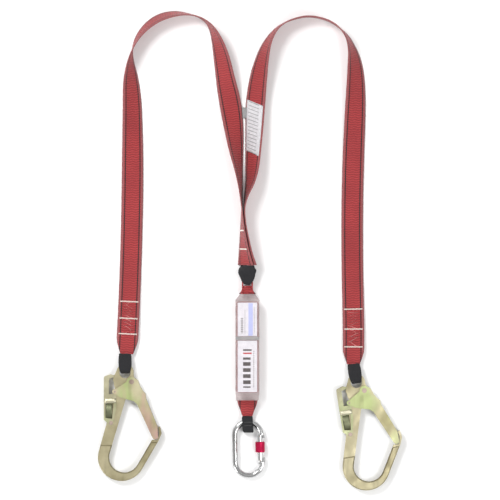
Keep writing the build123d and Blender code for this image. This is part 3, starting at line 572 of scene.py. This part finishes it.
def thread(name, dark, light):
    """Sewing thread with a fine fuzz."""
    shader = Shader(name, Roughness=0.6, Sheen_Weight=0.3)
    fuzz = shader.noise(scale=900.0)
    shader.colour(shader.blend(fuzz, dark, light))
    shader.bump(fuzz, distance=0.0001)
    return shader.material


def stretched(shader, location=(0.0, 0.0, 0.0), lengthwise=1.0, turn=0.0):
    """The point on the piece, scaled so that patterns run long in y, then turned and shifted."""
    node = shader.node("ShaderNodeMapping")
    node.inputs["Location"].default_value = location
    node.inputs["Scale"].default_value = (1.0, lengthwise, 1.0)
    node.inputs["Rotation"].default_value = (0.0, 0.0, radians(turn))
    shader.link(shader.place(), node.inputs[0])
    return node.outputs[0]


def tinted(shader, colour, tints, strength):
    """Patches of plating colour."""
    for index, (scale, low, high, tint) in enumerate(tints):
        where = stretched(shader, TINT_SHIFT * index, TINT_LENGTHWISE)
        patch = shader.fade(shader.noise(scale, detail=2.0, vector=where), span=(low, high))
        colour = shader.mix(shader.math("MULTIPLY", patch, strength), colour, tint)
    return colour


def painted_side_shade(shader, colour, strength, dark):
    """Painted shade: darker rims and sides than the faces that look up or down."""
    upward = shader.axes(shader.node("ShaderNodeTexCoord").outputs["Normal"])[2]
    rim = shader.fade(shader.math("ABSOLUTE", upward), SIDE_SHADE_FADE, start=strength, end=0.0)
    return shader.mix(rim, colour, shaded(dark, SIDE_SHADE_BRIGHTNESS))


def scuffed(shader, colour, dark):
    """Faint dark scuffs, long and slanting."""
    where = stretched(shader, lengthwise=SCUFF_LENGTHWISE, turn=SCUFF_TURN)
    scuffs = shader.noise(SCUFF_SCALE, detail=2.0, vector=where)
    strength = shader.fade(scuffs, SCUFF_FADE, end=SCUFF_STRENGTH)
    return shader.mix(strength, colour, shaded(dark, SCUFF_BRIGHTNESS))


def metal(name, dark, light, roughness, tints=(), tint_strength=0.0, side_shade_strength=0.0):
    """Plated metal: cloudy colour, optional coloured patches, painted shade on its rims and sides,
    scuffs and a fine grain.
    """
    shader = Shader(name, Metallic=1.0)
    colour = shader.blend(shader.noise(CLOUD_SCALE, detail=5.0), dark, light, CLOUD_SPAN)
    colour = tinted(shader, colour, tints, tint_strength)
    colour = painted_side_shade(shader, colour, side_shade_strength, dark)
    shader.colour(scuffed(shader, colour, dark))
    grain = shader.noise(GRAIN_SCALE, detail=2.0)
    shader.roughness(shader.scaled(grain, factor=GRAIN_ROUGHNESS, offset=roughness))
    dents = shader.math("MULTIPLY", shader.noise(DENT_SCALE, detail=1.0), DENT_RISE)
    fine = shader.math("MULTIPLY", grain, GRAIN_RISE)
    shader.bump(shader.math("ADD", fine, dents), distance=METAL_RELIEF, strength=0.6)
    return shader.material


def clear_cover():
    """Clear film over the labels, smoky and pinkish round the rim and the sides."""
    shader = Shader("clear_cover", Roughness=0.14)
    x, y = shader.axes(shader.place())[:2]
    off_centre = shader.math("ABSOLUTE", shader.math("SUBTRACT", x, ABSORBER_X))
    middle = shader.math("LESS_THAN", off_centre, WINDOW_HALF_WIDTH)
    upper, lower = [shader.between(y, *span) for span in WINDOW_SPANS]
    window = shader.math("MULTIPLY", middle, shader.math("ADD", upper, lower))
    alpha = shader.scaled(window, factor=WINDOW_ALPHA - RIM_ALPHA, offset=RIM_ALPHA)
    shader.link(alpha, shader.bsdf.inputs["Alpha"])
    haze = shader.noise(scale=35.0, detail=4.0)
    shader.colour(shader.blend(haze, COVER_SMOKE, COVER_PALE_SMOKE))
    shader.bump(haze, distance=0.0009, strength=0.5)
    return shader.material


def divider_weld():
    """The ribbed weld between the cover's two windows."""
    shader = Shader("cover_weld", Roughness=0.4)
    x = shader.axes(shader.place())[0]
    shader.colour(shader.clouds(80.0, WELD_DARK, WELD_LIGHT))
    shader.bump(shader.wave("SINE", x, WELD_RIB_PITCH), distance=0.0002)
    return shader.material


def printed_label(name, bars):
    """White stock with plain generic bars."""
    shader = Shader(name, Roughness=0.5)
    x, y = shader.axes(shader.place())[:2]
    paper = shader.clouds(120.0, STOCK_SHADE, STOCK_WHITE)
    for x0, x1, y0, y1, pitch, colour in bars:
        columns = shader.between(x, ABSORBER_X + x0, ABSORBER_X + x1)
        mask = shader.math("MULTIPLY", columns, shader.between(y, y0, y1))
        if pitch:
            phase = shader.math("FRACT", shader.math("DIVIDE", y, pitch))
            mask = shader.math("MULTIPLY", mask, shader.math("LESS_THAN", phase, PRINTED_SHARE))
        paper = shader.mix(mask, paper, colour)
    shader.colour(paper)
    shader.bump(shader.noise(scale=300.0), distance=0.00008)
    return shader.material


def tag_print():
    """Cloth tag with thin grey rows across it."""
    shader = Shader("id_tag", Roughness=0.7)
    across, along = shader.woven()
    rows = shader.math("FRACT", shader.math("DIVIDE", along, TAG_ROW_PITCH))
    row = shader.math("LESS_THAN", rows, TAG_ROW_SHARE)
    mask = shader.math("MULTIPLY", row, shader.between(across, *TAG_ROW_SPAN))
    strength = shader.math("MULTIPLY", mask, TAG_ROW_STRENGTH)
    cloth = shader.clouds(200.0, TAG_SHADE, TAG_WHITE)
    shader.colour(shader.mix(strength, cloth, TAG_ROW_GREY))
    shader.bump(twill(shader, across, along, TAG_TWILL_PITCH), distance=0.0001)
    return shader.material


# ---------------------------------------------------------------- mesh building


def finish_piece(obj, body, material, nodes=()):
    """Gives a piece its look and the body that it rides on, and hides the CAD nodes it stands for."""
    obj.data.materials.clear()
    obj.data.materials.append(material)
    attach(obj, body)
    if nodes:
        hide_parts(*nodes)
    return obj


def ribbon(name, stations, cross=10):
    """A flat band, cross strips wide. A station is place, across, normal, width, thickness."""
    verts, faces, uvs = [], [], []
    travelled, last = 0.0, stations[0][0]
    ring = 2 * (cross + 1)
    for place, across, normal, width, thickness in stations:
        travelled += (place - last).length
        last = place
        for side in (1, -1):
            for step in range(cross + 1):
                out = (2 * step / cross - 1) * side * width / 2
                edge = EDGE_THINNING if step in (0, cross) else 1.0
                verts.append(place + across * out + normal * (side * edge * thickness / 2))
                uvs.append((out, travelled))
    for row in range(len(stations) - 1):
        for step in range(ring):
            after = (step + 1) % ring
            a, b = row * ring, (row + 1) * ring
            faces.append((a + step, a + after, b + after, b + step))
    faces.append(tuple(reversed(range(ring))))
    faces.append(tuple(range((len(stations) - 1) * ring, len(stations) * ring)))
    mesh = bpy.data.meshes.new(name)
    mesh.from_pydata([v[:] for v in verts], [], faces)
    layer = mesh.uv_layers.new(name="weave")
    for loop in mesh.loops:
        layer.data[loop.index].uv = uvs[loop.vertex_index]
    mesh.polygons.foreach_set("use_smooth", [True] * len(mesh.polygons))
    mesh.update()
    obj = bpy.data.objects.new(name, mesh)
    bpy.context.scene.collection.objects.link(obj)
    return obj


def threads(name, lines, radius):
    """Sewing thread: one round strand along each list of points."""
    data = bpy.data.curves.new(name, "CURVE")
    data.dimensions = "3D"
    data.bevel_depth = radius
    data.bevel_resolution = 2
    for points in lines:
        spline = data.splines.new("POLY")
        spline.points.add(len(points) - 1)
        for point, place in zip(spline.points, points):
            point.co = (*place, 1.0)
    obj = bpy.data.objects.new(name, data)
    bpy.context.scene.collection.objects.link(obj)
    return obj


def smooth(points, steps=6):
    """Catmull-Rom through points of any number of values."""
    padded = [points[0], *points, points[-1]]
    result = []
    for a, b, c, d in zip(padded, padded[1:], padded[2:], padded[3:]):
        for step in range(steps):
            t = step / steps
            result.append([
                0.5 * (2 * q + (r - p) * t + (2 * p - 5 * q + 4 * r - s) * t * t
                       + (3 * q - p - 3 * r + s) * t ** 3)
                for p, q, r, s in zip(a, b, c, d)
            ])
    result.append(list(points[-1]))
    return result


def along_path(places, index):
    """The path's direction at one of its places, not yet of length 1."""
    return places[min(index + 1, len(places) - 1)] - places[max(index - 1, 0)]


def local_frame(place):
    """Origin, right and ahead of a place that is x, y, height and turn in degrees."""
    x, y, z, turn = place
    right = Vector((cos(radians(turn)), sin(radians(turn)), 0))
    return Vector((x, y, z)), right, Vector((-right.y, right.x, 0))


def folded_band(name, place, points, thickness):
    """A band folded through an eye. Points are local x, y, z, width and roll."""
    origin, right, ahead = local_frame(place)
    rows = smooth(points)
    places = [origin + right * x + ahead * y + UP * z for x, y, z, width, roll in rows]
    stations = []
    for index, (x, y, z, width, roll) in enumerate(rows):
        tangent = along_path(places, index).normalized()
        across = right * cos(radians(roll)) + UP * sin(radians(roll))
        across = (across - tangent * across.dot(tangent)).normalized()
        stations.append((places[index], across, tangent.cross(across), width, thickness))
    return ribbon(name, stations)


def band_along(name, places, sideways, width, thickness):
    """A band of one size along places, with its width in one direction all the way."""
    stations = []
    for index, place in enumerate(places):
        normal = along_path(places, index).normalized().cross(sideways)
        stations.append((place, sideways, normal, width, thickness))
    return ribbon(name, stations, cross=6)


# ---------------------------------------------------------------- legs


def control_points(route):
    """The route's points with the height that keeps the lower edge off the floor."""
    points = []
    for index, (x, y, roll) in enumerate(route):
        from_end = len(route) - 1 - index
        thickness = DOUBLED_THICKNESS if from_end < DOUBLED_POINTS else WEBBING_THICKNESS
        rise = thickness / 2 * abs(cos(radians(roll)))
        rise += WEBBING_WIDTH / 2 * abs(sin(radians(roll)))
        lift = HOOK_END_LIFT[from_end] if from_end < len(HOOK_END_LIFT) else 0.0
        points.append((x, y, rise + FLOOR_MARGIN + lift))
    return points


def spline_points(name, points):
    """Points along the NURBS line that has these control points."""
    data = bpy.data.curves.new(name, "CURVE")
    data.dimensions = "3D"
    data.resolution_u = LINE_STEPS
    spline = data.splines.new("NURBS")
    spline.points.add(len(points) - 1)
    for point, place in zip(spline.points, points):
        point.co = (*place, 1.0)
    spline.order_u = 3
    spline.use_endpoint_u = True
    obj = bpy.data.objects.new(name, data)
    mesh = bpy.data.meshes.new_from_object(obj)
    found = [v.co.copy() for v in mesh.vertices]
    bpy.data.objects.remove(obj)
    bpy.data.meshes.remove(mesh)
    return found


def leg_stations(side, route):
    """A leg's line, its stations, and the distance left to the hook at each of them."""
    line = spline_points(side + "_line", control_points(route))
    # the rolls follow the same spline, scaled down to the size of the route's coordinates
    rolls = spline_points(side + "_roll", [(roll / ROLL_SCALE, 0, 0) for x, y, roll in route])
    left = [0.0]
    for a, b in zip(reversed(line[:-1]), reversed(line[1:])):
        left.append(left[-1] + (a - b).length)
    left.reverse()
    stations = []
    for index, place in enumerate(line):
        forward = along_path(line, index).normalized()
        level = forward.cross(UP).normalized()
        up = level.cross(forward)
        roll = radians(rolls[index].x * ROLL_SCALE)
        across = level * cos(roll) + up * sin(roll)
        taper = max(0.0, 1 - left[index] / LEG_END_TAPER)
        width = WEBBING_WIDTH + (LEG_END_WIDTH - WEBBING_WIDTH) * taper
        thickness = DOUBLED_THICKNESS if left[index] < DOUBLED_LENGTH else WEBBING_THICKNESS
        stations.append((place, across, across.cross(forward), width, thickness))
    return line, stations, left


def nearest(stations, left, distance):
    """The station closest to a distance from the hook: place, across, normal, along, thickness."""
    index = min(range(len(left)), key=lambda i: abs(left[i] - distance))
    place, across, normal, width, thickness = stations[index]
    return place, across, normal, across.cross(normal), thickness


def bar_tack(stations, left, distance, half_width, lift=TACK_LIFT, face=1):
    """Satin stitches packed into one bar across a face of the leg, 1 or -1."""
    place, across, normal, along, thickness = nearest(stations, left, distance)
    surface = place + normal * (face * (thickness / 2 + lift))
    lines = []
    count = int(2 * half_width / TACK_PITCH)
    for step in range(count):
        x = -half_width + 2 * half_width * step / (count - 1)
        lean = TACK_LEAN if step % 2 else -TACK_LEAN
        lines.append([
            surface + across * (x - lean) - along * TACK_HALF_LENGTH,
            surface + across * (x + lean) + along * TACK_HALF_LENGTH,
        ])
    return lines


def zigzag(stations, left, near, far, half_width):
    """A zigzag line that runs between two bars."""
    points = []
    count = int((far - near) / (ZIGZAG_PITCH / 2))
    for step in range(count + 1):
        distance = near + (far - near) * step / count
        place, across, normal, along, thickness = nearest(stations, left, distance)
        side = 1 if step % 2 else -1
        surface = place + normal * (thickness / 2 + ZIGZAG_LIFT)
        points.append(surface + across * (side * half_width))
    return points


def sew_hook_end(side, stations, left, materials):
    """Three white bars and, between them, red zigzags."""
    bars = []
    for distance in TACK_DISTANCES:
        bars += bar_tack(stations, left, distance, TACK_HALF_WIDTH)
    tacks = threads(side + "_leg_tacks", bars, TACK_THREAD)
    finish_piece(tacks, "webbing", materials["white_thread"], ["leg_stitching_" + side])
    starts = [distance + ZIGZAG_FROM_TACK for distance in TACK_DISTANCES[:-1]]
    lines = [
        zigzag(stations, left, near, near + ZIGZAG_LENGTH, half_width)
        for near in starts
        for half_width in ZIGZAG_HALF_WIDTHS
    ]
    seam = threads(side + "_leg_zigzag", lines, ZIGZAG_THREAD)
    finish_piece(seam, "webbing", materials["red_thread"])
    return [tacks, seam]


def sew_junction(stations, left, materials):
    """The white bars that join the legs, on the left leg's upper face."""
    bars = []
    for distance in JUNCTION_TACKS:
        bars += bar_tack(
            stations, left, left[0] - distance, JUNCTION_TACK_HALF_WIDTH, JUNCTION_TACK_LIFT, -1
        )
    tacks = threads("junction_tacks", bars, TACK_THREAD)
    finish_piece(tacks, "webbing", materials["white_thread"], ["junction_stitching"])
    return [tacks]


def build_leg(side, route, materials):
    line, stations, left = leg_stations(side, route)
    leg = ribbon(side + "_leg", stations)
    finish_piece(leg, "webbing", materials["red"], ["leg_webbing_" + side])
    extra = sew_hook_end(side, stations, left, materials)
    if side == "left":
        extra += sew_junction(stations, left, materials)
    else:
        extra += build_tag(stations, materials)


def build_tag(stations, materials):
    """The white cloth tag on the right leg, cut on a slant, and its grey back flap."""
    chosen = [
        (place + normal * (thickness / 2 + TAG_LIFT), across, normal, TAG_WIDTH, TAG_THICKNESS)
        for place, across, normal, width, thickness in stations
        if TAG_SPAN[0] < place.y < TAG_SPAN[1] and place.x < TAG_X_LIMIT
    ]
    tag = ribbon("id_tag", chosen)
    along = (chosen[-1][0] - chosen[0][0]).normalized()
    ring = len(tag.data.vertices) // len(chosen)
    for index, vertex in enumerate(tag.data.vertices):
        place, across = chosen[index // ring][:2]
        vertex.co -= along * ((vertex.co - place).dot(across) * TAG_SLANT)
    finish_piece(tag, "webbing", materials["tag"], ["id_label"])

    # the flap leaves the leg's lower edge and lies level, clear of the floor
    top, across, normal = chosen[-1][:3]
    level = Vector((across.x, across.y, 0)).normalized()
    corner = top - across * FLAP_FROM_MIDDLE - level * FLAP_OUT - normal * WEBBING_THICKNESS
    flap_rows = []
    for step in range(FLAP_ROWS):
        place = corner - along * (FLAP_DROP + FLAP_STEP * step)
        width = FLAP_WIDTH - FLAP_NARROWING * step
        flap_rows.append((place, level, level.cross(along), width, FLAP_THICKNESS))
    flap = ribbon("tag_back_flap", flap_rows, cross=4)
    finish_piece(flap, "webbing", materials["flap"])
    return tag, flap


# ---------------------------------------------------------------- sleeves and absorber


def build_sleeves(materials):
    """The black webbing folded through each hook's eye, the junction and the carabiner."""
    for side, place in HOOK_PLACES.items():
        sleeve = folded_band(side + "_eye_sleeve", place, EYE_SLEEVE_POINTS, SLEEVE_THICKNESS)
        finish_piece(sleeve, "webbing", materials["black"], ["eye_sleeve_" + side])
    for name, place, points, body, node in (
        ("junction_fold", JUNCTION_PLACE, JUNCTION_FOLD_POINTS, "webbing", "junction_sleeve"),
        ("carabiner_fold", CARABINER_PLACE, CARABINER_FOLD_POINTS, "absorber", "absorber_loop_sleeve"),
    ):
        sleeve = folded_band(name, place, points, SLEEVE_THICKNESS)
        finish_piece(sleeve, body, materials["black"], [node])


def build_tear_pack(materials):
    """The tear webbing: one strap folded to and fro in layers."""
    near, far = PACK_SPAN
    turn_radius = PACK_LAYER_RISE / 2
    places = []
    for layer in range(PACK_LAYERS):
        z = PACK_FIRST_LAYER_HEIGHT + PACK_LAYER_RISE * layer
        forwards = layer % 2 == 0
        start, stop = (near, far) if forwards else (far, near)
        for step in range(PACK_LAYER_STEPS + 1):
            y = start + (stop - start) * step / PACK_LAYER_STEPS
            places.append(Vector((ABSORBER_X, y, z)))
        if layer < PACK_LAYERS - 1:
            out = turn_radius if forwards else -turn_radius
            for degrees in (45, 90, 135):
                angle = radians(degrees)
                rise = turn_radius * (1 - cos(angle))
                places.append(Vector((ABSORBER_X, stop + out * sin(angle), z + rise)))
    pack = band_along("folded_tear_webbing", places, RIGHT, PACK_WIDTH, PACK_THICKNESS)
    finish_piece(pack, "absorber", materials["tear"], ["tear_webbing_pack"])


def build_top_loop(materials):
    """The red loop on edge above the cover, and the gathered webbing at its foot."""
    straight = [
        (LOOP_HALF_WIDTH, COVER_TOP), (LOOP_HALF_WIDTH, LOOP_CENTRE_Y - LOOP_STRAIGHT),
        (LOOP_HALF_WIDTH, LOOP_CENTRE_Y),
    ]
    path = [(-x, y) for x, y in straight]
    for step in range(1, LOOP_ARC_STEPS):
        angle = pi * (1 - step / LOOP_ARC_STEPS)
        path.append((LOOP_HALF_WIDTH * cos(angle), LOOP_CENTRE_Y + LOOP_HALF_WIDTH * sin(angle)))
    path += reversed(straight)
    places = [Vector((ABSORBER_X + x, y, LOOP_HEIGHT)) for x, y in path]
    loop = band_along("top_loop", places, UP, LOOP_STRAP_WIDTH, LOOP_STRAP_THICKNESS)
    finish_piece(loop, "absorber", materials["red"], ["absorber_top_loop"])

    place = (ABSORBER_X, 0, 0, 0)
    gathered = folded_band("gathered_webbing", place, GATHERED_POINTS, GATHERED_THICKNESS)
    finish_piece(gathered, "absorber", materials["red"])


def build_bottom_loop(materials):
    """The red strap that narrows below the cover into the carabiner's black fold."""
    stations = [
        (Vector((ABSORBER_X, y, z)), RIGHT, UP, width, thickness)
        for y, z, width, thickness in smooth(BOTTOM_LOOP_ROWS)
    ]
    strap = ribbon("bottom_loop", stations)
    finish_piece(strap, "absorber", materials["red"], ["absorber_bottom_loop"])


def sew_carabiner_fold(materials):
    """Two black bars across the carabiner's fold."""
    stitches = []
    for y in FOLD_TACK_ROWS:
        for step in range(FOLD_TACK_STITCHES):
            x = ABSORBER_X - FOLD_TACK_FROM_MIDDLE + TACK_PITCH * step
            stitches.append([
                Vector((x, y - FOLD_TACK_HALF_LENGTH, FOLD_TACK_HEIGHT)),
                Vector((x + FOLD_TACK_LEAN, y + FOLD_TACK_HALF_LENGTH, FOLD_TACK_HEIGHT)),
            ])
    tacks = threads("carabiner_fold_tacks", stitches, FOLD_TACK_THREAD)
    finish_piece(tacks, "absorber", materials["black_thread"], ["absorber_loop_stitching"])


# ---------------------------------------------------------------- the CAD nodes


def dress(node, material, bevel=0.0):
    """Gives a CAD node its look and, where bevel isn't 0, eased edges of that width."""
    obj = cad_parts[node]
    obj.data.materials.clear()
    obj.data.materials.append(material)
    if bevel:
        edge = obj.modifiers.new("edge", "BEVEL")
        edge.width = bevel
        edge.segments = 2
        edge.limit_method = "ANGLE"
        edge.angle_limit = radians(EASED_ABOVE_DEGREES)
        edge.harden_normals = False


def dress_cad_nodes(materials):
    for side in HOOK_PLACES:
        for part, look, bevel in HOOK_LOOKS:
            dress(f"{side}_{part}", materials[look], bevel)
    for node, look, bevel in OTHER_LOOKS:
        dress(node, materials[look], bevel)


def build_lever_steps(materials):
    """The bright thumb step across each lock lever, and below it a dark plate of painted shade in the
    lever's recess.
    """
    for side, place in HOOK_PLACES.items():
        origin, right, ahead = local_frame(place)
        for name, rows, width, thickness, look in (
            ("step", STEP_ROWS, STEP_WIDTH, STEP_THICKNESS, "bright"),
            ("recess_shade_plate", PLATE_ROWS, PLATE_WIDTH, PLATE_THICKNESS, "shade"),
        ):
            stations = [
                (origin + right * x + ahead * y + UP * z, right, UP, width, thickness)
                for x, y, z in rows
            ]
            piece = ribbon(f"{side}_lever_{name}", stations, cross=6)
            finish_piece(piece, side + "_hook_lever", materials[look])


def make_materials():
    """Every look by the name that the tables above and the builders use."""
    made = {
        "red": red_webbing(), "tag": tag_print(), "cover": clear_cover(), "weld": divider_weld(),
        "upper_label": printed_label("upper_label_print", UPPER_LABEL_BARS),
        "lower_label": printed_label("lower_label_print", LOWER_LABEL_BARS),
    }
    made.update({look: plain_webbing(*row) for look, row in WEBBINGS.items()})
    made.update({look: thread(*row) for look, row in THREADS.items()})
    made.update({look: metal(**row) for look, row in METALS.items()})
    return made


# ---------------------------------------------------------------- floor and light


def add_floor():
    reach = FLOOR_REACH
    corners = [(-reach, -reach, 0), (reach, -reach, 0), (reach, reach, 0), (-reach, reach, 0)]
    mesh = bpy.data.meshes.new("floor")
    mesh.from_pydata(corners, [], [(0, 1, 2, 3)])
    floor = bpy.data.objects.new("floor", mesh)
    floor.location = FLOOR_CENTRE
    bpy.context.scene.collection.objects.link(floor)
    shader = Shader("floor_paper", Roughness=0.9)
    shader.colour(shader.clouds(3.0, FLOOR_SHADE, FLOOR_WHITE))
    mesh.materials.append(shader.material)


def add_sky():
    """Grey surroundings, so that metal has light and dark to reflect."""
    world = bpy.data.worlds.new("studio")
    bpy.context.scene.world = world
    world.use_nodes = True
    tree = world.node_tree
    direction = tree.nodes.new("ShaderNodeTexCoord")
    split = tree.nodes.new("ShaderNodeSeparateXYZ")
    shade = tree.nodes.new("ShaderNodeValToRGB")
    stops = shade.color_ramp.elements
    while len(stops) < len(SKY_STOPS):
        stops.new(0.5)
    for stop, (position, brightness) in zip(stops, SKY_STOPS):
        stop.position = position
        stop.color = grey(brightness)
    background = tree.nodes["Background"]
    background.inputs["Strength"].default_value = SKY_STRENGTH
    tree.links.new(direction.outputs["Generated"], split.inputs[0])
    tree.links.new(split.outputs[2], shade.inputs[0])
    tree.links.new(shade.outputs[0], background.inputs["Color"])


def add_lights():
    """Area lights aimed at the middle of the view."""
    for name, place, size, power in LIGHTS:
        light = bpy.data.lights.new(name, "AREA")
        light.size = size
        light.energy = power
        obj = bpy.data.objects.new(name, light)
        obj.location = place
        aim = Vector((*VIEW_CENTRE, 0)) - Vector(place)
        obj.rotation_euler = aim.to_track_quat("-Z", "Y").to_euler()
        bpy.context.scene.collection.objects.link(obj)


bpy.context.scene.view_settings.view_transform = "Standard"
add_camera()
materials = make_materials()
build_leg("left", LEFT_ROUTE, materials)
build_leg("right", RIGHT_ROUTE, materials)
build_sleeves(materials)
build_tear_pack(materials)
build_top_loop(materials)
build_bottom_loop(materials)
sew_carabiner_fold(materials)
build_lever_steps(materials)
dress_cad_nodes(materials)
add_floor()
add_sky()
add_lights()
